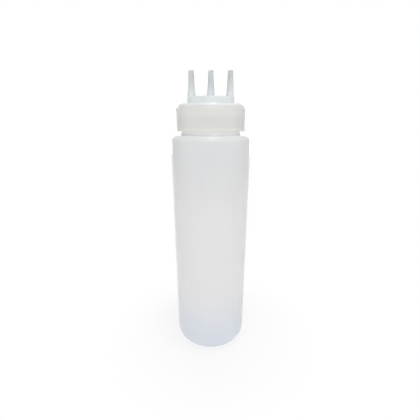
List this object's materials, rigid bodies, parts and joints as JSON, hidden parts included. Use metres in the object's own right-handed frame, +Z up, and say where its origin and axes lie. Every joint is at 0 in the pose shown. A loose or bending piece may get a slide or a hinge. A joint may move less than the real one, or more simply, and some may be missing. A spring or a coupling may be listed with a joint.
{
  "type": "squeeze bottle",
  "caption": "Translucent wide-mouth condiment squeeze bottle with a smooth screw collar and a head of upright tapered nozzles in a row.",
  "frame": {"origin": "centre of the base, on the surface that the bottle stands on", "axes": "+Z up along the bottle's axis, +X along the row of nozzles"},
  "size_m": [0.07, 0.07, 0.26],
  "materials": {
    "bottle_plastic": "translucent milky low-density polyethylene, satin from the blow mould",
    "collar_plastic": "translucent milky polyethylene, slightly warmer, smooth injection moulding",
    "head_plastic": "translucent cool white polyethylene, smooth injection moulding",
    "seal_rubber": "soft white food-grade elastomer"
  },
  "bodies": {
    "bottle": {"bottle_body": "bottle_plastic"},
    "seal": {"rim_seal": "seal_rubber"},
    "head": {"nozzle_head": "head_plastic"},
    "collar": {"screw_collar": "collar_plastic"}
  },
  "joints": [
    {"name": "closure_lift", "type": "slide", "parent": "bottle", "child": "seal", "axis": [0, 0, 1], "range_m": [0, 0.045]},
    {"name": "head_climb", "type": "slide", "parent": "seal", "child": "head", "axis": [0, 0, 1], "range_m": [0, 0.0063]},
    {"name": "collar_turn", "type": "hinge", "parent": "head", "child": "collar", "pos_m": [0, 0, 0.2217], "axis": [0, 0, 1], "range_deg": [0, 540]}
  ],
  "couplings": [
    {"joint": "head_climb", "follows": "collar_turn", "m_per_rad": 0.00066845}
  ]
}
